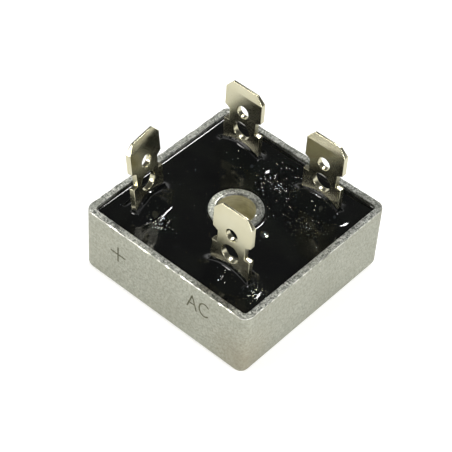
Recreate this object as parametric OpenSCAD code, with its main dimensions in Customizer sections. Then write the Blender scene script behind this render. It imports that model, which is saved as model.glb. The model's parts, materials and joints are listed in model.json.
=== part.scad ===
// Bridge rectifier: a square metal case, four blade terminals and four diode dies potted in resin.
// Origin at the centre of the mounting hole on the underside, +Z up towards the blades.
// The marked side of the case faces -Y, with the positive blade at its -X end.

/* [Case] */
// Side of the square case
case_w = 28.6; // [27:0.1:32]
// Height of the case, underside to rim
case_h = 11; // [10:0.1:13]
// Thickness of the case wall at the rim
wall_t = 1; // [0.8:0.1:1.4]
// Thickness of the case floor
floor_t = 2; // [1.5:0.1:2.5]
// Radius of the upright corners and of the edges round the underside
edge_r = 1.2; // [0.6:0.1:1.6]
// Radius of the corners inside the wall
pocket_r = 0.6; // [0.4:0.1:1]

/* [Post] */
// Radius of the hole for the mounting screw
hole_r = 2.65; // [2.2:0.05:2.8]
// Outer radius of the post round the hole
post_r = 3.8; // [3.4:0.1:4.2]
// How far the top of the post lies below the rim
post_drop = 0.2; // [0:0.1:0.6]
// Chamfer at both mouths of the hole
mouth_c = 0.2; // [0.1:0.05:0.4]

/* [Insulator] */
// Thickness of the adhesive film under the ceramic plate
bond_t = 0.2; // [0.1:0.05:0.4]
// Thickness of the ceramic plate
ceramic_t = 0.635; // [0.4:0.005:1]
// Gap between the ceramic plate and the case wall
ceramic_gap = 0.9; // [0.5:0.1:1.5]
// Gap between the ceramic plate and the post
post_gap = 0.5; // [0.3:0.1:0.8]

/* [Dies] */
// Side of each square diode die
die_w = 4; // [3:0.1:4.4]
// Thickness of each die
die_t = 0.28; // [0.2:0.01:0.4]
// Thickness of each solder layer
solder_t = 0.08; // [0.05:0.01:0.15]
// How far each solder layer stays inside the edge of its die
solder_inset = 0.2; // [0.1:0.05:0.4]
// Distance of each die and arm from the centre of the part
ring_r = 7.1; // [6.9:0.1:7.6]

/* [Terminals] */
// Thickness of the terminal sheet
blade_t = 0.8; // [0.7:0.05:1]
// Width of the blades
blade_w = 6.35; // [5.8:0.05:6.6]
// Height of the blade tips above the rim
blade_reach = 11; // [10.5:0.1:14]
// Width of the foot's two arms
arm_w = 4.8; // [4.6:0.1:5.2]
// Inside radius of the fold between foot and blade
fold_r = 0.4; // [0.3:0.1:0.8]
// Width of the slanted corners at the tip
tip_c = 1.05; // [0.6:0.05:1.4]
// Height of the slanted corners at the tip
tip_h = 1.25; // [0.8:0.05:1.6]
// Thickness of the bevelled tip
tip_t = 0.34; // [0.2:0.02:0.6]
// Height of the bevel on both faces of the tip
bevel_h = 1.3; // [0.6:0.1:1.6]

/* [Blade holes and notches] */
// Distance of the latch hole from the tip
latch_at = 4.16; // [3.6:0.02:4.2]
// Radius of the latch hole
latch_r = 0.97; // [0.7:0.01:1.1]
// Distance of the wire hole from the tip
wire_at = 7.52; // [7:0.02:7.6]
// Radius of the wire hole
wire_r = 1.42; // [1:0.02:1.5]
// Distance of the side notches from the tip
notch_at = 4.4; // [4:0.05:4.6]
// Height of the side notches
notch_h = 2.5; // [2:0.1:3]
// Depth of the side notches
notch_d = 0.85; // [0.5:0.05:1]
// Fall of the notches' upper edges towards the middle of the blade
notch_fall = 0.45; // [0:0.05:0.6]

/* [Set of the positive blade] */
// Turn of the positive blade about its own upright line
positive_turn = 8; // [0:1:12]
// Lean of the positive blade away from the centre
positive_lean = 7; // [0:0.5:8]

/* [Resin] */
// How far the resin's flat surface lies below the rim
resin_drop = 0.7; // [0.4:0.1:1.2]
// Height to which the resin climbs up each blade
climb_h = 2.6; // [1.5:0.1:2.8]
// Spread of the climbing resin round each blade
climb_r = 2.2; // [1.2:0.1:2.4]
// Thickness of the climbing resin at its upper edge
climb_lip = 0.2; // [0.2:0.02:0.3]

/* [Hidden] */

// The four diodes, named for the two blades that each one joins, and the side each lies on
SIDES = [["positive_front", 270], ["positive_back", 180], ["negative_front", 0], ["negative_back", 90]];

$fn = 64;
over = 0.5; // how far a cut runs past the faces it opens
corner_fn = 32;

pocket_w = case_w - 2 * wall_t;
post_h = case_h - post_drop;
ceramic_z = floor_t + bond_t;
low_foot_z = ceramic_z + ceramic_t;
low_solder_z = low_foot_z + blade_t;
die_z = low_solder_z + solder_t;
high_solder_z = die_z + die_t;
high_foot_z = high_solder_z + solder_t;
resin_z = case_h - resin_drop;
tip_z = case_h + blade_reach;

// Each arm reaches past the middle of its die to the die's far edge
arm_end = die_w / 2 + solder_inset;
// Distance of the blades' middle plane from the centre: flush with the arms' outer edges
blade_off = ring_r + arm_w / 2 - blade_t / 2;
// The blade is set between these heights, out of sight below the resin's surface
set_low_z = high_foot_z + blade_t + 2 * fold_r;
set_drop = 1.5;
set_high_z = resin_z - set_drop;
climb_sink = 1.2; // depth to which the climbing resin runs into the flat resin, less than set_drop
climb_steps = 6; // facets of its curve from foot to upper edge

// Upright box with a round edge at each corner, standing on z = 0
module round_box(w, h, r) {
    translate([-w / 2, -w / 2 + r, 0]) cube([w, w - 2 * r, h]);
    translate([-w / 2 + r, -w / 2, 0]) cube([w - 2 * r, w, h]);
    for (x = [-1, 1], y = [-1, 1])
        translate([x * (w / 2 - r), y * (w / 2 - r), 0]) cylinder(r = r, h = h);
}

// Case body with rounded upright corners and a rounded edge round its underside
module case_block() {
    inset = case_w / 2 - edge_r;
    hull()
        for (x = [-1, 1], y = [-1, 1])
            translate([x * inset, y * inset, edge_r]) {
                sphere(r = edge_r, $fn = corner_fn);
                cylinder(r = edge_r, h = case_h - edge_r, $fn = corner_fn);
            }
}

// Mounting hole with a chamfer at each mouth
module screw_hole() {
    translate([0, 0, -over]) cylinder(r = hole_r, h = case_h + 2 * over);
    translate([0, 0, -over]) cylinder(r1 = hole_r + mouth_c + over, r2 = hole_r, h = mouth_c + over);
    translate([0, 0, post_h - mouth_c])
        cylinder(r1 = hole_r, r2 = hole_r + mouth_c + over, h = mouth_c + over);
}

module case() {
    color("#b4b2a5") difference() {
        union() {
            difference() {
                case_block();
                translate([0, 0, floor_t]) round_box(pocket_w, case_h, pocket_r);
            }
            cylinder(r = post_r, h = post_h);
        }
        screw_hole();
    }
}

// Square layer on the case floor with a hole round the post
module floor_layer(z, t) {
    translate([0, 0, z]) difference() {
        round_box(pocket_w - 2 * ceramic_gap, t, pocket_r);
        translate([0, 0, -over]) cylinder(r = post_r + post_gap, h = t + 2 * over);
    }
}

module insulator_bond() {
    color("#8f9aa0") floor_layer(floor_t, bond_t);
}

module ceramic_insulator() {
    color("#f1efe9") floor_layer(ceramic_z, ceramic_t);
}

// Brings a child to a diode's place on the ring, on the side that the angle gives
module on_ring(angle) {
    rotate([0, 0, angle]) translate([ring_r, 0, 0]) children();
}

module square_layer(w, z, t) {
    translate([-w / 2, -w / 2, z]) cube([w, w, t]);
}

module diode(angle) {
    color("#5b6068") on_ring(angle) square_layer(die_w, die_z, die_t);
}

module solder(angle, z) {
    color("#a9adb0") on_ring(angle) square_layer(die_w - 2 * solder_inset, z, solder_t);
}

// Front view of a blade, drawn down from its tip at y = 0, with a half outline mirrored
module blade_face(length) {
    side = blade_w / 2;
    neck = side - notch_d;
    half = [
        [side - tip_c, 0],
        [side, -tip_h],
        [side, -notch_at],
        [neck, -notch_at - notch_fall],
        [neck, -notch_at - notch_h],
        [side, -notch_at - notch_h],
        [side, -length]
    ];
    other = [for (i = [len(half) - 1:-1:0]) [-half[i][0], half[i][1]]];
    difference() {
        polygon(concat(half, other));
        translate([0, -latch_at]) circle(r = latch_r);
        translate([0, -wire_at]) circle(r = wire_r);
    }
}

// Edge view of a blade: parallel faces with a bevel on both sides of the tip
module blade_edge(length) {
    t = blade_t / 2;
    polygon([
        [-t, -length], [t, -length], [t, -bevel_h], [tip_t / 2, 0], [-tip_t / 2, 0], [-t, -bevel_h]
    ]);
}

// Blade hanging down from its tip at the origin, wide along X
module blade(length) {
    intersection() {
        rotate([90, 0, 0])
            translate([0, 0, -blade_t / 2]) linear_extrude(blade_t) blade_face(length);
        rotate([90, 0, 90])
            translate([0, 0, -blade_w / 2]) linear_extrude(blade_w) blade_edge(length);
    }
}

// Frame of a blade: upright on its fold, or turned and leaned from the lower end of its free length
module blade_frame(turn, lean) {
    translate([ring_r, -blade_off, set_high_z])
        rotate([0, 0, turn]) rotate([lean, 0, 0]) children();
}

// Corners of a blade's section at the lower end of its free length, turned and leaned
function set_corners(turn, lean) = [
    for (c = blade_corners())
        [
            ring_r + c[0] * cos(turn) - c[1] * cos(lean) * sin(turn),
            -blade_off + c[0] * sin(turn) + c[1] * cos(lean) * cos(turn),
            set_high_z + c[1] * sin(lean)
        ]
];

// Corners of an upright blade's section, anticlockwise from above
function blade_corners() = [
    for (c = [[-1, -1], [1, -1], [1, 1], [-1, 1]]) [c[0] * blade_w / 2, c[1] * blade_t / 2]
];

// Stretch of sheet between the upright stem and a blade that is turned and leaned
module set_stretch(turn, lean) {
    low = [for (c = blade_corners()) [ring_r + c[0], -blade_off + c[1], set_low_z]];
    polyhedron(
        concat(low, set_corners(turn, lean)),
        [
            [0, 1, 2, 3], [7, 6, 5, 4],
            [0, 4, 5], [0, 5, 1], [1, 5, 6], [1, 6, 2], [2, 6, 3], [3, 6, 7], [3, 7, 4], [3, 4, 0]
        ]
    );
}

// Upright strip of sheet between two heights, in the middle plane of the blades
module stem(low, high) {
    translate([ring_r - blade_w / 2, -blade_off - blade_t / 2, low])
        cube([blade_w, blade_t, high - low]);
}

// Quarter bend from the foot's outer edge up into the blade
module fold(z) {
    translate([ring_r - blade_w / 2, -blade_off + blade_t / 2 + fold_r, z + blade_t + fold_r])
        rotate([0, 90, 0]) intersection() {
            difference() {
                cylinder(r = fold_r + blade_t, h = blade_w);
                translate([0, 0, -over]) cylinder(r = fold_r, h = blade_w + 2 * over);
            }
            translate([0, -fold_r - blade_t, 0]) cube([fold_r + blade_t, fold_r + blade_t, blade_w]);
        }
}

// Flat foot: a pad at the corner with one arm to each of the two neighbouring dies
module foot(z) {
    near = ring_r - arm_w / 2;
    far = ring_r + arm_w / 2;
    bend = -blade_off + blade_t / 2 + fold_r;
    translate([ring_r - blade_w / 2, bend, z]) cube([blade_w, -near - bend, blade_t]);
    translate([-arm_end, -far, z]) cube([arm_end + ring_r - blade_w / 2, arm_w, blade_t]);
    translate([near, -near, z]) cube([arm_w, near + arm_end, blade_t]);
}

// One stamped and folded terminal in the +X -Y corner, its blade along the -Y side
module terminal_piece(z, turn = 0, lean = 0) {
    fold_top = z + blade_t + fold_r;
    straight = turn == 0 && lean == 0;
    foot(z);
    fold(z);
    stem(fold_top, straight ? set_high_z : set_low_z);
    if (!straight) set_stretch(turn, lean);
    blade_frame(turn, lean) translate([0, 0, tip_z - set_high_z]) blade(tip_z - set_high_z);
}

// The four corners: each places a piece drawn in the +X -Y corner
module ac_front_corner() {
    children();
}

module positive_corner() {
    rotate([0, 0, -90]) children();
}

module ac_back_corner() {
    rotate([0, 0, 180]) children();
}

module negative_corner() {
    mirror([0, 1, 0]) children();
}

module terminal_ac_front() {
    color("#d9d5c2") ac_front_corner() terminal_piece(low_foot_z);
}

module terminal_ac_back() {
    color("#d9d5c2") ac_back_corner() terminal_piece(low_foot_z);
}

module terminal_negative() {
    color("#d9d5c2") negative_corner() terminal_piece(high_foot_z);
}

module terminal_positive() {
    color("#d9d5c2") positive_corner() terminal_piece(high_foot_z, positive_turn, positive_lean);
}

// Half section of the resin that climbs a blade: a hollow curve from its foot to its upper edge
function climb_curve() = [
    for (i = [0:climb_steps])
        let (a = 90 * i / climb_steps)
            [blade_t / 2 + climb_lip + climb_r * (1 - sin(a)), climb_h * (1 - cos(a))]
];

// Resin climbing all round a blade, straight along its faces and round at its ends
module climb() {
    curve = climb_curve();
    foot = blade_t / 2 + climb_lip + climb_r;
    reach = blade_w / 2 - blade_t / 2;
    half = concat([[0, -climb_sink], [foot, -climb_sink]], curve, [[0, climb_h]]);
    other = [for (i = [len(curve) - 1:-1:0]) [-curve[i][0], curve[i][1]]];
    rotate([90, 0, 90]) translate([0, 0, -reach]) linear_extrude(2 * reach)
        polygon(concat([[-foot, -climb_sink], [foot, -climb_sink]], curve, other));
    for (end = [0, 180])
        rotate([0, 0, end]) translate([reach, 0, 0]) rotate([0, 0, -90])
            rotate_extrude(angle = 180) polygon(half);
}

module climb_at(turn = 0, lean = 0) {
    blade_frame(turn, lean) translate([0, 0, resin_z - set_high_z]) climb();
}

// Poured resin before anything is taken out of it, with a climb round each blade
module resin_block() {
    translate([0, 0, floor_t]) round_box(pocket_w, resin_z - floor_t, pocket_r);
    ac_front_corner() climb_at();
    ac_back_corner() climb_at();
    negative_corner() climb_at();
    positive_corner() climb_at(positive_turn, positive_lean);
}

module potting_resin() {
    color("#16191a") difference() {
        difference() {
            resin_block();
            positive_corner() set_stretch(positive_turn, positive_lean);
        }
        cylinder(r = post_r, h = tip_z);
        insulator_bond();
        ceramic_insulator();
        terminal_ac_front();
        terminal_ac_back();
        terminal_negative();
        terminal_positive();
        for (s = SIDES) {
            diode(s[1]);
            solder(s[1], low_solder_z);
            solder(s[1], high_solder_z);
        }
    }
}

case();
insulator_bond();
ceramic_insulator();
terminal_positive();
terminal_negative();
terminal_ac_front();
terminal_ac_back();
for (s = SIDES) {
    diode(s[1]);
    solder(s[1], low_solder_z);
    solder(s[1], high_solder_z);
}
potting_resin();
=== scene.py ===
import json
import math

import bpy
import numpy as np
from mathutils import Matrix, Vector


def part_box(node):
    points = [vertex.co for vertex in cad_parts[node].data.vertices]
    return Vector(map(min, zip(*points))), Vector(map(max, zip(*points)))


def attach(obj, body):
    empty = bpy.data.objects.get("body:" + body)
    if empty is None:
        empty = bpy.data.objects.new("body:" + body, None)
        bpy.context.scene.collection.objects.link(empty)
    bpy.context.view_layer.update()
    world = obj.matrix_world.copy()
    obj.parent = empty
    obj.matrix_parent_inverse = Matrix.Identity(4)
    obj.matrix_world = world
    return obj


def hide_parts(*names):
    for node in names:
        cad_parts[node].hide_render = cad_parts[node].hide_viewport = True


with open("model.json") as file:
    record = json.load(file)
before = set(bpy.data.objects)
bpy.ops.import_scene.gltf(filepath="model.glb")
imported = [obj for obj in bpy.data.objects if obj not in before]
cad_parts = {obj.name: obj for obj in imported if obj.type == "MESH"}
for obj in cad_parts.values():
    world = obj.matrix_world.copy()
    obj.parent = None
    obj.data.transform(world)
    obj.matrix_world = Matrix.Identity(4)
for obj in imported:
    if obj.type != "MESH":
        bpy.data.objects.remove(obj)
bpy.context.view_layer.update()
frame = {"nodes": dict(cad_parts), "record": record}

# ---------------------------------------------------------------- case
# A square cup with a post in its middle, die-cast in one piece from an aluminium alloy. It is
# tumbled after casting, which leaves a fine soft grey grain on its sides. Its rim and post are then
# cut level, which leaves torn brighter faces and a thin ragged burr along the outer edge.
MM = 0.001
rng = np.random.default_rng(11)
SIDE_STEPS = 112  # points along each side of a ring
CORNER_STEPS = 14  # points round each of its corners

case_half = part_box("case")[1].x / MM
case_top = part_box("case")[1].z / MM
wall_t = case_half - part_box("potting_resin")[1].x / MM
floor_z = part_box("insulator_bond")[0].z / MM
hole = next(m for m in frame["record"]["mounts"] if m["name"] == "mounting_hole")
hole_r = hole["dims"]["r_mm"]
post_top = 2 * hole["pos_m"][2] / MM
mouth_c = (post_top - hole["dims"]["length_mm"]) / 2
case_points = [v.co / MM for v in frame["nodes"]["case"].data.vertices]
post_r = max(math.hypot(v.x, v.y) for v in case_points if abs(v.z - post_top) < 0.01)
foot_r = 1.2  # round edge between the sides and the underside
corner_r = 1.35  # upright corners
pocket_r = 0.6  # corners inside the wall


def square_ring(half, corner):
    """Points round a square with round corners, the same number on each side and corner."""
    flat = half - corner
    along = np.linspace(-flat, flat, SIDE_STEPS, endpoint=False)
    bend = np.linspace(0, math.pi / 2, CORNER_STEPS, endpoint=False)
    x = np.concatenate([np.full(SIDE_STEPS, half), flat + corner * np.cos(bend)])
    y = np.concatenate([along, flat + corner * np.sin(bend)])
    quarter = np.stack([x, y], 1)
    turns = [quarter, quarter @ [[0, 1], [-1, 0]], -quarter, quarter @ [[0, -1], [1, 0]]]
    return np.concatenate(turns)


outline = square_ring(case_half, corner_r)
bearing = np.arctan2(outline[:, 1], outline[:, 0])
around = len(outline)


def round_ring(radius):
    """Points round a circle, each on the bearing of its partner on the square."""
    return np.stack([radius * np.cos(bearing), radius * np.sin(bearing)], 1)


def at_height(ring, z):
    """The ring as points in space; z is one height or one for each point."""
    return np.column_stack([ring, np.broadcast_to(z, len(ring))])


def wander(count, width, size):
    """A closed run of smooth random offsets, each wave about width steps long."""
    step = np.minimum(np.arange(count), count - np.arange(count))
    kernel = np.fft.fft(np.exp(-0.5 * (step / width) ** 2))
    smooth = np.real(np.fft.ifft(np.fft.fft(rng.standard_normal(count)) * kernel))
    return size * smooth / smooth.std()


def solid(name, points, faces, materials, face_material=None):
    """A mesh object from points in millimetres, smooth except across its sharp edges."""
    mesh = bpy.data.meshes.new(name)
    mesh.from_pydata((np.asarray(points) * MM).tolist(), [], faces)
    for material in materials:
        mesh.materials.append(material)
    if face_material is not None:
        mesh.polygons.foreach_set("material_index", np.asarray(face_material, np.int32))
    mesh.shade_smooth()
    mesh.set_sharp_from_angle(angle=math.radians(40))
    made = bpy.data.objects.new(name, mesh)
    bpy.context.scene.collection.objects.link(made)
    made.modifiers.new("flat faces stay flat", "WEIGHTED_NORMAL").keep_sharp = True
    return made


def skin(rings, closed):
    """Points and four-sided faces that join each ring to the next."""
    count = len(rings[0])
    faces = []
    for k in range(len(rings) if closed else len(rings) - 1):
        low = k * count
        high = (k + 1) % len(rings) * count
        for i in range(count):
            j = (i + 1) % count
            faces.append((low + i, low + j, high + j, high + i))
    return np.concatenate(rings), faces


def linear(code):
    """An sRGB hex colour as the linear colour that shaders take."""
    parts = [int(code[i:i + 2], 16) / 255 for i in (1, 3, 5)]
    return [c / 12.92 if c <= 0.04045 else ((c + 0.055) / 1.055) ** 2.4 for c in parts] + [1]


def per_metre(size_mm):
    """The scale at which a pattern repeats about once in this many millimetres."""
    return 1000 / size_mm


def new_material(name):
    """An empty node material and its tree."""
    material = bpy.data.materials.new(name)
    material.use_nodes = True
    material.node_tree.nodes.clear()
    return material, material.node_tree


def node(tree, kind, sockets, **settings):
    """Adds one node, with its settings, and each socket set to a value or linked to an output."""
    made = tree.nodes.new("ShaderNode" + kind)
    for key, value in settings.items():
        setattr(made, key, value)
    for key, value in sockets.items():
        if isinstance(value, bpy.types.NodeSocket):
            tree.links.new(value, made.inputs[key])
        else:
            made.inputs[key].default_value = value
    return made


# Tumbled aluminium: a warm grey broken up by a fine pale and dark grain, with faint clouds and a
# brownish handling stain low on the front corner, matt enough that no reflection has an edge. The
# grain is drawn 0.35 mm wide, about three times as coarse as the real one, so that it shows.
tumbled_aluminium, tree = new_material("tumbled_aluminium")
place = node(tree, "TexCoord", {}).outputs["Object"]
grain = node(tree, "TexNoise", {"Vector": place, "Scale": per_metre(0.35), "Detail": 4.0,
                                "Roughness": 0.75}).outputs["Fac"]
clouds = node(tree, "TexNoise", {"Vector": place, "Scale": per_metre(4.0), "Detail": 4.0}).outputs["Fac"]
grain_colour = node(tree, "ValToRGB", {"Fac": grain})
grain_colour.color_ramp.elements[0].position = 0.36
grain_colour.color_ramp.elements[0].color = linear("#9a9c8f")
grain_colour.color_ramp.elements[1].position = 0.64
grain_colour.color_ramp.elements[1].color = linear("#c6c7ba")
cloud_amount = node(tree, "MapRange", {"Value": clouds, "From Min": 0.35, "From Max": 0.7, "To Max": 0.35})
cloudy = node(tree, "MixRGB", {"Fac": cloud_amount.outputs["Result"], "Color2": linear("#a3a292"),
                               "Color1": grain_colour.outputs["Color"]})
stain = (case_half * MM, -case_half * MM, 2.5 * MM)
from_stain = node(tree, "VectorMath", {0: place, 1: stain}, operation="DISTANCE").outputs["Value"]
stain_amount = node(tree, "MapRange", {"Value": from_stain, "From Min": 1 * MM, "From Max": 7 * MM,
                                       "To Min": 0.45, "To Max": 0.0})
stained = node(tree, "MixRGB", {"Fac": stain_amount.outputs["Result"], "Color1": cloudy.outputs["Color"],
                                "Color2": linear("#a0957c")})
dullness = node(tree, "MapRange", {"Value": grain, "To Min": 0.45, "To Max": 0.65})
relief = node(tree, "Bump", {"Height": grain, "Distance": 0.03 * MM, "Strength": 0.7})
metal = node(tree, "BsdfPrincipled", {"Base Color": stained.outputs["Color"], "Metallic": 1.0,
                                      "Roughness": dullness.outputs["Result"],
                                      "Normal": relief.outputs["Normal"]})
node(tree, "OutputMaterial", {"Surface": metal.outputs["BSDF"]})

# Torn cut aluminium: the rim and the top of the post, granular where the cutter tore the casting,
# so that it sparkles in bright and dark specks. Painted shade: the rim's colour is darkened towards
# the back corner, and the post top is painted lighter at the front and darker towards the back.
cut_aluminium, tree = new_material("cut_aluminium")
place = node(tree, "TexCoord", {}).outputs["Object"]
tears = node(tree, "TexNoise", {"Vector": place, "Scale": per_metre(0.3), "Detail": 5.0,
                                "Roughness": 0.85}).outputs["Fac"]
bands = node(tree, "TexNoise", {"Vector": place, "Scale": per_metre(3.0), "Detail": 3.0}).outputs["Fac"]
tear_colour = node(tree, "ValToRGB", {"Fac": tears})
tear_colour.color_ramp.elements[0].position = 0.44
tear_colour.color_ramp.elements[0].color = linear("#575b55")
tear_colour.color_ramp.elements[1].position = 0.57
tear_colour.color_ramp.elements[1].color = linear("#eeefe6")
band_amount = node(tree, "MapRange", {"Value": bands, "From Min": 0.4, "From Max": 0.65, "To Max": 0.5})
banded = node(tree, "MixRGB", {"Fac": band_amount.outputs["Result"], "Color1": tear_colour.outputs["Color"],
                               "Color2": linear("#a9aba0")})
# Painted light and shade on the post top: lighter towards the front left, darker towards the back right.
shaded_side = (0.78, 0.63, 0.0)
toward_back = node(tree, "VectorMath", {0: place, 1: shaded_side}, operation="DOT_PRODUCT").outputs["Value"]
side_shade = node(tree, "MapRange", {"Value": toward_back, "From Min": -2.5 * MM, "From Max": 2.5 * MM,
                                     "To Min": 1.35, "To Max": 0.55})
post_middle = (0.0, 0.0, post_top * MM)
from_axis = node(tree, "VectorMath", {0: place, 1: post_middle}, operation="DISTANCE").outputs["Value"]
on_post = node(tree, "Math", {0: from_axis, 1: (post_r + 0.2) * MM}, operation="LESS_THAN")
# Painted shade on the rim: its colour darkens towards the back corner.
rim_shade = node(tree, "MapRange", {"Value": toward_back, "From Min": -14 * MM, "From Max": 14 * MM,
                                    "To Min": 1.1, "To Max": 0.75})
shade = node(tree, "Mix", {"Factor": on_post.outputs[0], "A": rim_shade.outputs["Result"],
                           "B": side_shade.outputs["Result"]})
# The grain's colour times the painted shade.
grain_and_painted_shade = node(tree, "VectorMath", {0: banded.outputs["Color"], "Scale": shade.outputs[0]},
               operation="SCALE")
dullness = node(tree, "MapRange", {"Value": tears, "To Min": 0.7, "To Max": 0.35})
relief = node(tree, "Bump", {"Height": tears, "Distance": 0.1 * MM, "Strength": 1.0})
metal = node(tree, "BsdfPrincipled", {"Base Color": grain_and_painted_shade.outputs["Vector"], "Metallic": 1.0,
                                      "Roughness": dullness.outputs["Result"],
                                      "Normal": relief.outputs["Normal"]})
node(tree, "OutputMaterial", {"Surface": metal.outputs["BSDF"]})

# Worn edge: burr and lip rubbed bright, which the eye reads as a thin white line.
worn_edge, tree = new_material("worn_aluminium_edge")
place = node(tree, "TexCoord", {}).outputs["Object"]
rub = node(tree, "TexNoise", {"Vector": place, "Scale": per_metre(0.7), "Detail": 3.0}).outputs["Fac"]
rub_colour = node(tree, "ValToRGB", {"Fac": rub})
rub_colour.color_ramp.elements[0].position = 0.4
rub_colour.color_ramp.elements[0].color = linear("#a9aa9e")
rub_colour.color_ramp.elements[1].position = 0.6
rub_colour.color_ramp.elements[1].color = linear("#f2f1ea")
dullness = node(tree, "MapRange", {"Value": rub, "To Min": 0.45, "To Max": 0.2})
metal = node(tree, "BsdfPrincipled", {"Base Color": rub_colour.outputs["Color"], "Metallic": 1.0,
                                      "Roughness": dullness.outputs["Result"]})
node(tree, "OutputMaterial", {"Surface": metal.outputs["BSDF"]})

# Drilled aluminium: the wall of the screw hole, a pale tan, ringed by the drill.
drilled_aluminium, tree = new_material("drilled_aluminium")
place = node(tree, "TexCoord", {}).outputs["Object"]
squashed = node(tree, "Mapping", {"Vector": place, "Scale": (0.15, 0.15, 1.0)}).outputs["Vector"]
drill_rings = node(tree, "TexNoise", {"Vector": squashed, "Scale": per_metre(0.25),
                                      "Detail": 3.0}).outputs["Fac"]
ring_colour = node(tree, "ValToRGB", {"Fac": drill_rings})
ring_colour.color_ramp.elements[0].position = 0.35
ring_colour.color_ramp.elements[0].color = linear("#d6d1b2")
ring_colour.color_ramp.elements[1].position = 0.65
ring_colour.color_ramp.elements[1].color = linear("#ebe7cd")
relief = node(tree, "Bump", {"Height": drill_rings, "Distance": 0.02 * MM, "Strength": 0.6})
metal = node(tree, "BsdfPrincipled", {"Base Color": ring_colour.outputs["Color"], "Metallic": 1.0,
                                      "Roughness": 0.55, "Normal": relief.outputs["Normal"]})
node(tree, "OutputMaterial", {"Surface": metal.outputs["BSDF"]})

TUMBLED, CUT, WORN, DRILLED = range(4)
mark_clearance = 0.008  # least depth of the wall below the case's full width, for the marks
worn_h = 0.16  # height of the worn band below the rim
cut_drop = 0.03  # depth of the cut faces below the tips of the burr
least_corner_r = 0.3
burr_up = np.minimum(np.abs(wander(around, 1.5, 0.022)), cut_drop)
burr_in = np.abs(wander(around, 2, 0.05))
rim_rough = [wander(around, 1.5, 0.012) for _ in range(5)]
rings = []
strips = []


def add_ring(ring, z, finish):
    """The next ring of the case's skin, and the finish of the strip that leads on from it."""
    rings.append(at_height(ring, z))
    strips.append(finish)


# Underside, round edge and outer wall, which tumbling leaves very slightly uneven
add_ring(round_ring(hole_r + mouth_c), 0, TUMBLED)
add_ring(round_ring(hole_r + 2), 0, TUMBLED)
for turn in np.linspace(0, math.pi / 2, 9):
    inset = foot_r * (1 - math.sin(turn))
    ring = square_ring(case_half - inset, max(corner_r - inset, least_corner_r))
    add_ring(ring, foot_r * (1 - math.cos(turn)), TUMBLED)
for z in np.linspace(foot_r, case_top - worn_h, 9)[1:]:
    sag = mark_clearance + np.abs(wander(around, 12, 0.006))[:, None]
    add_ring(outline * (1 - sag / case_half), z, TUMBLED)
strips[-1] = WORN
# Burr, cut rim and inner lip, each ring given by its distance in and its drop
for inset, drop, finish in ((0.012, 0.06, WORN), (0.03, 0.02, WORN), (0.07, 0.0, CUT)):
    ring = square_ring(case_half - inset, corner_r - inset)
    ring = ring * (1 - burr_in / case_half)[:, None]
    add_ring(ring, case_top - drop - cut_drop + burr_up, finish)
for inset, rough in zip(np.linspace(0.2, wall_t - 0.12, 5), rim_rough):
    ring = square_ring(case_half - inset, corner_r + (pocket_r - corner_r) * inset / wall_t)
    add_ring(ring, case_top - cut_drop + rough, CUT)
for inset, drop in ((0.06, 0.04), (0.0, 0.1)):
    add_ring(square_ring(case_half - wall_t + inset, pocket_r + inset), case_top - drop, CUT)
# Inside of the cup, then the post up to its cut top
add_ring(square_ring(case_half - wall_t, pocket_r), floor_z, TUMBLED)
add_ring(round_ring(post_r), floor_z, TUMBLED)
for inset, drop in ((0.0, 0.25), (0.03, 0.08)):
    add_ring(round_ring(post_r - inset), post_top - drop, CUT)
for radius in np.linspace(post_r - 0.12, hole_r + mouth_c + 0.08, 6):
    add_ring(round_ring(radius), post_top - cut_drop + wander(around, 2, 0.012), CUT)
strips[-1] = WORN
# Mouth and wall of the screw hole
add_ring(round_ring(hole_r + mouth_c), post_top - 0.05 + wander(around, 3, 0.012), WORN)
add_ring(round_ring(hole_r + 0.02), post_top - mouth_c, DRILLED)
for z in np.linspace(post_top - 1, 1, 5):
    add_ring(round_ring(hole_r), z, DRILLED)
add_ring(round_ring(hole_r), mouth_c, WORN)

points, faces = skin(rings, closed=True)
finishes = [tumbled_aluminium, cut_aluminium, worn_edge, drilled_aluminium]
case = solid("case_casting", points, faces, finishes, np.repeat(strips, around))
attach(case, "root")
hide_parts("case")

# ---------------------------------------------------------------- terminal marks
# A laser writes a plus sign and the letters AC on the -Y side, each below its terminal. It leaves
# thin strokes of dark oxide a few thousandths of a millimetre proud of the tumbled wall.
stroke_w = 0.24
stroke_root = 0.12  # depth to which the strokes are rooted in the wall
stroke_step = 0.001  # difference in height between crossing strokes
strokes = []


def write(line):
    """One stroke with round ends along a line of (x, z) points on the -Y side."""
    line = np.asarray(line, float)
    run = np.gradient(line, axis=0)
    run /= np.hypot(run[:, 0], run[:, 1])[:, None]
    side = np.column_stack([-run[:, 1], run[:, 0]]) * stroke_w / 2
    sweep = np.linspace(math.pi / 2, -math.pi / 2, 9)[1:-1, None]
    head = line[-1] + stroke_w / 2 * np.cos(sweep) * run[-1] + np.sin(sweep) * side[-1]
    tail = line[0] - stroke_w / 2 * np.cos(sweep) * run[0] - np.sin(sweep) * side[0]
    strokes.append(np.concatenate([line + side, head, (line - side)[::-1], tail]))


plus_x, plus_z, plus_arm = -8.0, 6.7, 1.25
write([(plus_x - plus_arm, plus_z), (plus_x + plus_arm, plus_z)])
write([(plus_x, plus_z + plus_arm), (plus_x, plus_z - plus_arm)])
letter_foot, letter_h = 6.6, 2.3
a_x, a_half, a_bar = 5.25, 0.78, 0.36
write([(a_x - a_half, letter_foot), (a_x, letter_foot + letter_h)])
write([(a_x, letter_foot + letter_h), (a_x + a_half, letter_foot)])
write([(a_x - a_half * (1 - a_bar), letter_foot + a_bar * letter_h),
       (a_x + a_half * (1 - a_bar), letter_foot + a_bar * letter_h)])
c_x, c_half = 7.4, 0.88
opening = np.radians(np.linspace(48, 312, 25))
write(np.column_stack([c_x + c_half * np.cos(opening),
                       letter_foot + letter_h / 2 * (1 + np.sin(opening))]))

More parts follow.
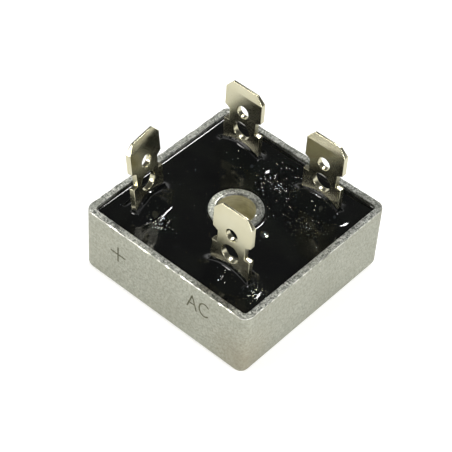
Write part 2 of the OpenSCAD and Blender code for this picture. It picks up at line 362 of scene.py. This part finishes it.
# Laser oxide: dull brown-grey, a little uneven along each stroke.
laser_oxide, tree = new_material("laser_oxide")
place = node(tree, "TexCoord", {}).outputs["Object"]
burn = node(tree, "TexNoise", {"Vector": place, "Scale": per_metre(0.3), "Detail": 3.0}).outputs["Fac"]
burn_colour = node(tree, "ValToRGB", {"Fac": burn})
burn_colour.color_ramp.elements[0].position = 0.35
burn_colour.color_ramp.elements[0].color = linear("#4c4b38")
burn_colour.color_ramp.elements[1].position = 0.65
burn_colour.color_ramp.elements[1].color = linear("#6f6e58")
oxide_film = node(tree, "BsdfPrincipled", {"Base Color": burn_colour.outputs["Color"], "Roughness": 0.8})
node(tree, "OutputMaterial", {"Surface": oxide_film.outputs["BSDF"]})

points = []
faces = []
for layer, edge in enumerate(strokes):
    base, count = len(points), len(edge)
    proud = case_half - stroke_step * (layer + 2)
    points += [(x, -proud, z) for x, z in edge] + [(x, stroke_root - case_half, z) for x, z in edge]
    faces.append([base + i for i in reversed(range(count))])
    faces.append([base + count + i for i in range(count)])
    for i in range(count):
        j = (i + 1) % count
        faces.append((base + i, base + j, base + count + j, base + count + i))
marks = solid("terminal_marks", points, faces, [laser_oxide])
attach(marks, "root")

# ---------------------------------------------------------------- adhesive film and ceramic plate
# A film of filled epoxy glues a plate of sintered alumina to the case's floor. The plate keeps the
# live parts apart from the metal case and leads their heat down into it.


def dress(name, material):
    """Gives a carried-over node its one material."""
    piece = frame["nodes"][name]
    piece.data.materials.clear()
    piece.data.materials.append(material)
    return piece


# Filled epoxy film: dull blue-grey with pale specks of filler.
filled_epoxy, tree = new_material("filled_epoxy_film")
place = node(tree, "TexCoord", {}).outputs["Object"]
filler = node(tree, "TexNoise", {"Vector": place, "Scale": per_metre(0.3), "Detail": 4.0}).outputs["Fac"]
filler_colour = node(tree, "ValToRGB", {"Fac": filler})
filler_colour.color_ramp.elements[0].position = 0.4
filler_colour.color_ramp.elements[0].color = linear("#7f8b92")
filler_colour.color_ramp.elements[1].position = 0.7
filler_colour.color_ramp.elements[1].color = linear("#a3acb0")
plastic = node(tree, "BsdfPrincipled", {"Base Color": filler_colour.outputs["Color"], "Roughness": 0.6})
node(tree, "OutputMaterial", {"Surface": plastic.outputs["BSDF"]})
dress("insulator_bond", filled_epoxy)

# Sintered alumina: chalky white with a fine grain, drawn 0.12 mm wide, coarser than the real one.
sintered_alumina, tree = new_material("sintered_alumina")
place = node(tree, "TexCoord", {}).outputs["Object"]
sinter = node(tree, "TexNoise", {"Vector": place, "Scale": per_metre(0.12), "Detail": 3.0}).outputs["Fac"]
sinter_colour = node(tree, "ValToRGB", {"Fac": sinter})
sinter_colour.color_ramp.elements[0].color = linear("#e6e3da")
sinter_colour.color_ramp.elements[1].color = linear("#f7f6f1")
relief = node(tree, "Bump", {"Height": sinter, "Distance": 0.01 * MM, "Strength": 0.5})
ceramic = node(tree, "BsdfPrincipled", {"Base Color": sinter_colour.outputs["Color"], "Roughness": 0.55,
                                        "Normal": relief.outputs["Normal"]})
node(tree, "OutputMaterial", {"Surface": ceramic.outputs["BSDF"]})
dress("ceramic_insulator", sintered_alumina)

# ---------------------------------------------------------------- diodes and their solder
# Four passivated silicon dies, each soldered between two terminals. The whole stack is passed
# through an oven once, so the solder sets as thin even layers above and below each die.
SIDES = ("positive_front", "positive_back", "negative_front", "negative_back")

# Passivated silicon: dark blue-grey and glossy, with faint colour rings of its oxide.
passivated_silicon, tree = new_material("passivated_silicon")
place = node(tree, "TexCoord", {}).outputs["Object"]
oxide = node(tree, "TexNoise", {"Vector": place, "Scale": per_metre(2.0), "Detail": 1.0}).outputs["Fac"]
oxide_colour = node(tree, "ValToRGB", {"Fac": oxide})
oxide_colour.color_ramp.elements[0].position = 0.35
oxide_colour.color_ramp.elements[0].color = linear("#3f454f")
oxide_colour.color_ramp.elements[1].position = 0.65
oxide_colour.color_ramp.elements[1].color = linear("#5a5566")
wafer = node(tree, "BsdfPrincipled", {"Base Color": oxide_colour.outputs["Color"], "Metallic": 0.6,
                                      "Roughness": 0.2})
node(tree, "OutputMaterial", {"Surface": wafer.outputs["BSDF"]})

# Reflowed solder: pale grey, bright where it froze smooth and dull where it froze last.
reflowed_solder, tree = new_material("reflowed_solder")
place = node(tree, "TexCoord", {}).outputs["Object"]
freeze = node(tree, "TexNoise", {"Vector": place, "Scale": per_metre(0.4), "Detail": 3.0}).outputs["Fac"]
freeze_colour = node(tree, "ValToRGB", {"Fac": freeze})
freeze_colour.color_ramp.elements[0].color = linear("#8f9496")
freeze_colour.color_ramp.elements[1].color = linear("#c9cccd")
dullness = node(tree, "MapRange", {"Value": freeze, "To Min": 0.5, "To Max": 0.2})
metal = node(tree, "BsdfPrincipled", {"Base Color": freeze_colour.outputs["Color"], "Metallic": 1.0,
                                      "Roughness": dullness.outputs["Result"]})
node(tree, "OutputMaterial", {"Surface": metal.outputs["BSDF"]})

for side in SIDES:
    dress("diode_" + side, passivated_silicon)
    for layer in ("_lower", "_upper"):
        dress("solder_" + side + layer, reflowed_solder)

# ---------------------------------------------------------------- terminals
# Four pieces stamped from 0.8 mm copper sheet, folded up from a flat foot, and plated with nickel
# over the cut edges. The press rolls the edges a little and coins a bevel on both sides of the tip.
TERMINALS = ("terminal_ac_front", "terminal_ac_back", "terminal_negative", "terminal_positive")
edge_roll = 0.07
same_point = 0.001  # points closer than this are one point
sliver_w = 0.002  # faces narrower than this are closed up

# Nickel plate: warm, bright and slightly soft, so that it mirrors the black potting below it with
# blurred edges, with cloudy tarnish and faint rolling lines. The lines are drawn 0.25 mm apart, some
# five times as coarse as the real ones, so that they show.
nickel_plate, tree = new_material("nickel_plate")
place = node(tree, "TexCoord", {}).outputs["Object"]
tarnish = node(tree, "TexNoise", {"Vector": place, "Scale": per_metre(3.0), "Detail": 4.0}).outputs["Fac"]
stretched = node(tree, "Mapping", {"Vector": place, "Scale": (1.0, 1.0, 0.06)}).outputs["Vector"]
rolling = node(tree, "TexNoise", {"Vector": stretched, "Scale": per_metre(0.25),
                                  "Detail": 3.0}).outputs["Fac"]
plate_colour = node(tree, "ValToRGB", {"Fac": tarnish})
plate_colour.color_ramp.elements[0].position = 0.35
plate_colour.color_ramp.elements[0].color = linear("#cbc6a9")
plate_colour.color_ramp.elements[1].position = 0.65
plate_colour.color_ramp.elements[1].color = linear("#d6d2b8")
dullness = node(tree, "MapRange", {"Value": tarnish, "From Min": 0.3, "From Max": 0.7,
                                   "To Min": 0.18, "To Max": 0.28})
relief = node(tree, "Bump", {"Height": rolling, "Distance": 0.002 * MM, "Strength": 0.4})
metal = node(tree, "BsdfPrincipled", {"Base Color": plate_colour.outputs["Color"], "Metallic": 1.0,
                                      "Roughness": dullness.outputs["Result"],
                                      "Normal": relief.outputs["Normal"]})
node(tree, "OutputMaterial", {"Surface": metal.outputs["BSDF"]})

for name in TERMINALS:
    terminal = dress(name, nickel_plate)
    terminal.data.shade_smooth()
    terminal.modifiers.new("one skin", "WELD").merge_threshold = same_point * MM
    flats = terminal.modifiers.new("whole flats", "DECIMATE")
    flats.decimate_type = "DISSOLVE"
    flats.angle_limit = math.radians(1)
    roll = terminal.modifiers.new("rolled edges", "BEVEL")
    roll.width = edge_roll * MM
    roll.segments = 3
    roll.use_clamp_overlap = False
    roll.limit_method = "ANGLE"
    roll.angle_limit = math.radians(25)
    terminal.modifiers.new("no slivers", "WELD").merge_threshold = sliver_w * MM
    terminal.modifiers.new("flat faces stay flat", "WEIGHTED_NORMAL").keep_sharp = True

# ---------------------------------------------------------------- potting resin
# Black epoxy poured over the whole assembly and cured. While liquid it creeps up each terminal, the
# walls and the post, and it shrinks a little as it sets, so its glossy surface is gently curved.
resin_drop = 0.7  # depth of the open surface below the rim
resin_z = case_top - resin_drop
resin_half = case_half - wall_t
tip = {m["name"]: Vector(m["pos_m"]) / MM for m in frame["record"]["mounts"]}
axis = {m["name"]: Vector(m["axis"]) for m in frame["record"]["mounts"]}
blade_half_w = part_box("terminal_ac_front")[1].x / MM - tip["ac_front_blade"].x
blade_half_t = -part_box("terminal_ac_front")[0].y / MM + tip["ac_front_blade"].y
positive_turn = math.radians(98)
BLADES = []  # where each blade comes out of the surface, and its turn
for name in ("ac_front_blade", "ac_back_blade", "negative_blade", "positive_blade"):
    foot = tip[name] - axis[name] * (tip[name].z - resin_z) / axis[name].z
    BLADES.append((foot.x, foot.y, positive_turn if name == "positive_blade" else 0.0))
# The climb up walls, post and blades: its height, and the distance in which it falls to a third
wall_climb, wall_fall = 0.16, 0.1
post_climb, post_fall = 0.25, 0.1
blade_climb, blade_fall = 0.7, 0.1
climb_slant, climb_wave = 0.1, 0.06  # how much it differs from end to end and along a blade
swell_h = 1.75  # broad swell under each blade, oval with these half lengths
swell_long, swell_wide = 5.4, 3.0
oval_waves = ((0.05, 3, 1), (0.03, 7, 0))  # size, count and shift of the waves in its outline
POST_RINGS = ((0.4, -0.012), (0.9, 0.012))  # distance from the post and height of shrinkage rings
post_ring_w = 0.25
# Ridges drawn out where the resin set late: both ends, width and height
RIDGES = (((-11.8, -2.8), (-11.7, 0.4), 0.08, 0.008), ((-12.1, 7.6), (-12.4, 10.6), 0.2, 0.032))
ridge_fade = 0.3
roll_h, ripple_h = 0.02, 0.008  # faint waves of the whole surface


def to_blade(x, y, blade):
    """Distance from a blade's section, and the place along its width and across it."""
    bx, by, turn = blade
    along = (x - bx) * math.cos(turn) + (y - by) * math.sin(turn)
    across = -(x - bx) * math.sin(turn) + (y - by) * math.cos(turn)
    out_w = np.maximum(np.abs(along) - blade_half_w, 0)
    out_t = np.maximum(np.abs(across) - blade_half_t, 0)
    return np.hypot(out_w, out_t), along, across


def ridge(x, y, start, end, width, height):
    """A low straight ridge in the surface, faded out at both ends."""
    start, end = np.array(start), np.array(end)
    length = np.hypot(*(end - start))
    run = (end - start) / length
    along = (x - start[0]) * run[0] + (y - start[1]) * run[1]
    across = (x - start[0]) * run[1] - (y - start[1]) * run[0]
    fade = 1 / (1 + np.exp(-along / ridge_fade)) / (1 + np.exp((along - length) / ridge_fade))
    return height * fade * np.exp(-(across / width) ** 2)


def resin_height(x, y):
    """Height of the cured surface above any place in the cup."""
    to_wall = resin_half - np.maximum(np.abs(x), np.abs(y))
    z = resin_z + wall_climb * np.exp(-to_wall / wall_fall)
    from_post = np.hypot(x, y) - post_r
    z = z + post_climb * np.exp(-from_post / post_fall)
    for distance, height in POST_RINGS:
        z = z + height * np.exp(-((from_post - distance) / post_ring_w) ** 2)
    for blade in BLADES:
        away, along, across = to_blade(x, y, blade)
        heading = np.arctan2(across, along)
        reach = np.hypot(along / swell_long, across / swell_wide)
        reach = reach * (1 + sum(size * np.sin(count * heading + shift * blade[0])
                                 for size, count, shift in oval_waves))
        z = z + swell_h * np.maximum(1 - reach ** 2, 0) ** 2
        lift = 1 + climb_slant * along / blade_half_w + climb_wave * np.sin(along * 1.7 + blade[0])
        z = z + blade_climb * lift * np.exp(-away / blade_fall)
    for start, end, width, height in RIDGES:
        z = z + ridge(x, y, start, end, width, height)
    z = z + roll_h * np.sin(x / 1.9 + 0.6) * np.cos(y / 2.3) + ripple_h * np.sin(x / 0.9 - y / 1.1)
    return z


# Cured epoxy: near black and glossy, cloudy in places from its filler, with fine pock marks that
# roughen the edges of what it mirrors. The marks are drawn 0.3 mm wide, coarser than the real ones.
potting_epoxy, tree = new_material("black_potting_epoxy")
place = node(tree, "TexCoord", {}).outputs["Object"]
haze = node(tree, "TexNoise", {"Vector": place, "Scale": per_metre(4.0), "Detail": 3.0}).outputs["Fac"]
haze_colour = node(tree, "ValToRGB", {"Fac": haze})
haze_colour.color_ramp.elements[0].position = 0.4
haze_colour.color_ramp.elements[0].color = linear("#0a0b0b")
haze_colour.color_ramp.elements[1].position = 0.7
haze_colour.color_ramp.elements[1].color = linear("#10120f")
pocks = node(tree, "TexVoronoi", {"Vector": place, "Scale": per_metre(0.3)}).outputs["Distance"]
pock_edge = node(tree, "MapRange", {"Value": pocks, "From Max": 0.45, "To Min": 1.0, "To Max": 0.0},
                 interpolation_type="SMOOTHSTEP")
relief = node(tree, "Bump", {"Height": pock_edge.outputs["Result"], "Distance": 0.04 * MM, "Strength": 0.1})
epoxy = node(tree, "BsdfPrincipled", {"Base Color": haze_colour.outputs["Color"], "Roughness": 0.06,
                                      "IOR": 1.5, "Normal": relief.outputs["Normal"]})
node(tree, "OutputMaterial", {"Surface": epoxy.outputs["BSDF"]})

# Rings of the skin from the wall (0) to the post (1), closest where the surface climbs: where each
# band of them starts, and how many it has
BANDS = ((0.0, 8), (0.02, 14), (0.1, 16), (0.26, 60), (0.54, 20), (0.88, 22), (1.0, 0))
shares = np.concatenate([np.linspace(low, high, count, endpoint=False)
                         for (low, count), (high, _) in zip(BANDS, BANDS[1:])] + [[1.0]])
wall_ring = square_ring(resin_half, pocket_r)
post_ring = round_ring(post_r)
rings = [at_height(post_ring, floor_z), at_height(wall_ring, floor_z)]
for share in shares:
    ring = wall_ring + (post_ring - wall_ring) * share
    rings.append(at_height(ring, resin_height(ring[:, 0], ring[:, 1])))
points, faces = skin(rings, closed=True)
resin = solid("resin_pour", points, faces, [potting_epoxy])
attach(resin, "root")
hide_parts("potting_resin")

# ---------------------------------------------------------------- bubbles in the resin
# Air that the pour trapped round the terminals rises as it cures and stays under shallow domes of
# the same epoxy, each of which catches a lamp as one bright speck.

# Skin over trapped air: a film of epoxy so thin that the air below it mirrors light, a little warm
# or cold from bubble to bubble, where the resin round it stays black.
epoxy_film, tree = new_material("epoxy_film_over_air")
place = node(tree, "TexCoord", {}).outputs["Object"]
film = node(tree, "TexNoise", {"Vector": place, "Scale": per_metre(1.0), "Detail": 2.0}).outputs["Fac"]
film_colour = node(tree, "ValToRGB", {"Fac": film})
film_colour.color_ramp.elements[0].position = 0.4
film_colour.color_ramp.elements[0].color = linear("#8c8b7a")
film_colour.color_ramp.elements[1].position = 0.6
film_colour.color_ramp.elements[1].color = linear("#868d92")
film_mirror = node(tree, "BsdfPrincipled", {"Base Color": film_colour.outputs["Color"], "Metallic": 1.0,
                                            "Roughness": 0.15})
node(tree, "OutputMaterial", {"Surface": film_mirror.outputs["BSDF"]})

dome_steps = 10
dome_rise = 0.2  # height as a share of the radius
dome_sink = 0.002  # how far the edge of a dome lies below the surface
dome_root = 0.012  # how far its flat underside does
clear_of_metal = 0.15
points = []
faces = []


def bubble(x, y, radius):
    """A shallow closed dome on the surface, left out where the wall, post or a blade is in its way."""
    to_metal = min(to_blade(x, y, blade)[0] for blade in BLADES)
    to_side = min(resin_half - max(abs(x), abs(y)), math.hypot(x, y) - post_r)
    if min(to_metal, to_side) < clear_of_metal + radius:
        return
    base = len(points)
    turn = np.linspace(0, 2 * math.pi, dome_steps, endpoint=False)
    share = np.array([1.0, 1.0, 0.85, 0.7, 0.5, 0.25])[:, None]
    lift = dome_rise * radius * (1 - share ** 2) ** 2 - dome_sink
    lift[0] = -dome_root
    ring_x, ring_y = x + radius * share * np.cos(turn), y + radius * share * np.sin(turn)
    height = resin_height(ring_x, ring_y) + lift
    points.extend(zip(ring_x.ravel(), ring_y.ravel(), height.ravel()))
    crown = len(points)
    points.append((x, y, float(resin_height(np.array(x), np.array(y))) + dome_rise * radius))
    faces.append([base + i for i in reversed(range(dome_steps))])
    for i in range(dome_steps):
        j = (i + 1) % dome_steps
        for level in range(len(share) - 1):
            low, high = base + level * dome_steps, base + (level + 1) * dome_steps
            faces.append((low + i, low + j, high + j, high + i))
        faces.append((crown - dome_steps + i, crown - dome_steps + j, crown))


# Lone bubbles: place and radius
PIMPLES = ((5.5, -0.6, 0.6), (-7.0, -8.3, 0.45), (-3.9, 7.6, 0.25), (8.3, 7.6, 0.3), (10.4, 8.0, 0.2))
for x, y, radius in PIMPLES:
    bubble(x, y, radius)
# Larger bubbles in front of each blade
for blade in BLADES:
    for _ in range(10):
        x = blade[0] + rng.normal(0.9, 1.3)
        y = blade[1] - 0.7 - abs(rng.normal(0, 1.4))
        bubble(x, y, rng.uniform(0.05, 0.12))
# Drifts of fine bubbles: middle and reach
FROTH = ((1.5, 8.0, 6.5), (8.6, 4.6, 4.0), (11.0, -9.5, 3.0), (-6.0, -8.6, 2.5))
for middle_x, middle_y, reach in FROTH:
    for _ in range(int(45 * reach)):
        x = middle_x + rng.normal(0, reach / 2.6)
        y = middle_y + rng.normal(0, reach / 3.5)
        bubble(x, y, rng.uniform(0.04, 0.11))
# Finest bubbles, all over the surface
for _ in range(220):
    bubble(*rng.uniform(-resin_half + 1, resin_half - 1, 2), rng.uniform(0.03, 0.07))
froth_domes = solid("resin_bubbles", points, faces, [epoxy_film])
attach(froth_domes, "root")

# ---------------------------------------------------------------- floor, lights and camera
# A plain pale floor under a white surround, three soft lamps, and a long lens from above the corner
# of the case between its marked side and its right side.
floor_half = 2
floor_corners = [(-floor_half, -floor_half, 0), (floor_half, -floor_half, 0),
                 (floor_half, floor_half, 0), (-floor_half, floor_half, 0)]
floor_mesh = bpy.data.meshes.new("floor")
floor_mesh.from_pydata(floor_corners, [], [(0, 1, 2, 3)])
floor = bpy.data.objects.new("floor", floor_mesh)
bpy.context.scene.collection.objects.link(floor)

# White card: lit by the lamps, and lifted to white for the eye and for mirrors.
white_card, tree = new_material("white_card")
ray = node(tree, "LightPath", {})
mirror = node(tree, "Math", {0: ray.outputs["Is Glossy Ray"], 1: ray.outputs["Is Transmission Ray"]},
              operation="MAXIMUM")
mirror_lift = node(tree, "Math", {0: mirror.outputs[0], 1: 0.35}, operation="MULTIPLY")
lift = node(tree, "Mix", {"Factor": ray.outputs["Is Camera Ray"], "A": mirror_lift.outputs[0], "B": 0.55})
card = node(tree, "BsdfDiffuse", {"Color": linear("#dcdcda")})
glow = node(tree, "Emission", {"Color": linear("#ffffff"), "Strength": lift.outputs[0]})
both = node(tree, "AddShader", {0: card.outputs["BSDF"], 1: glow.outputs["Emission"]})
node(tree, "OutputMaterial", {"Surface": both.outputs["Shader"]})
floor_mesh.materials.append(white_card)

world = bpy.data.worlds.new("studio")
bpy.context.scene.world = world
world.use_nodes = True
tree = world.node_tree
tree.nodes.clear()
ray = node(tree, "LightPath", {})
heading = node(tree, "TexCoord", {}).outputs["Generated"]
rise = node(tree, "SeparateXYZ", {"Vector": heading}).outputs["Z"]
ceiling = node(tree, "MapRange", {"Value": rise, "From Min": 0.0, "From Max": 0.3,
                                  "To Min": 1.0, "To Max": 0.08}, interpolation_type="SMOOTHSTEP")
mirror = node(tree, "Math", {0: ray.outputs["Is Glossy Ray"], 1: ray.outputs["Is Transmission Ray"]},
              operation="MAXIMUM")
soft_fill = 0.45
for_mirror = node(tree, "Mix", {"Factor": mirror.outputs[0], "A": soft_fill,
                                "B": ceiling.outputs["Result"]})
strength = node(tree, "Mix", {"Factor": ray.outputs["Is Camera Ray"], "A": for_mirror.outputs[0], "B": 1.0})
sky = node(tree, "Background", {"Color": linear("#ffffff"), "Strength": strength.outputs[0]})
node(tree, "OutputWorld", {"Surface": sky.outputs["Background"]})


lamp_distance = 0.55


def lamp(name, towards, side, watts, code):
    """A square soft lamp in a direction from the part, facing its middle."""
    light = bpy.data.lights.new(name, "AREA")
    light.size = side
    light.energy = watts
    light.color = linear(code)[:3]
    made = bpy.data.objects.new(name, light)
    made.location = Vector(towards).normalized() * lamp_distance
    made.rotation_mode = "QUATERNION"
    made.rotation_quaternion = (-Vector(towards)).to_track_quat("-Z", "Y")
    bpy.context.scene.collection.objects.link(made)


lamp("key_lamp", (-0.44, -0.80, 0.41), 0.16, 1.1, "#fffdf8")
lamp("fill_lamp", (0.90, -0.10, 0.42), 0.20, 1.65, "#fdfdff")
lamp("back_lamp", (-0.16, 0.54, 0.83), 0.08, 1.2, "#ffffff")

view_azimuth = math.radians(38.824)
view_elevation = math.radians(45.98)
view_roll = math.radians(4.151)
view_distance = 0.227483
aim = Vector((0, 0, 0.0055))
aim_right, aim_up = -0.001112, 0.001311
back = Vector((math.sin(view_azimuth) * math.cos(view_elevation),
               -math.cos(view_azimuth) * math.cos(view_elevation), math.sin(view_elevation)))
right = Vector((math.cos(view_azimuth), math.sin(view_azimuth), 0))
up = back.cross(right)
tilt_right = right * math.cos(view_roll) + up * math.sin(view_roll)
tilt_up = up * math.cos(view_roll) - right * math.sin(view_roll)
camera = bpy.data.objects.new("camera", bpy.data.cameras.new("camera"))
bpy.context.scene.collection.objects.link(camera)
camera.data.sensor_width = 36
camera.data.lens = 133.776
camera.data.clip_start, camera.data.clip_end = 0.01, 10
at = aim + back * view_distance + tilt_right * aim_right + tilt_up * aim_up
camera.matrix_world = Matrix.Translation(at) @ Matrix((tilt_right, tilt_up, back)).transposed().to_4x4()
bpy.context.scene.camera = camera
bpy.context.scene.view_settings.view_transform = "Standard"
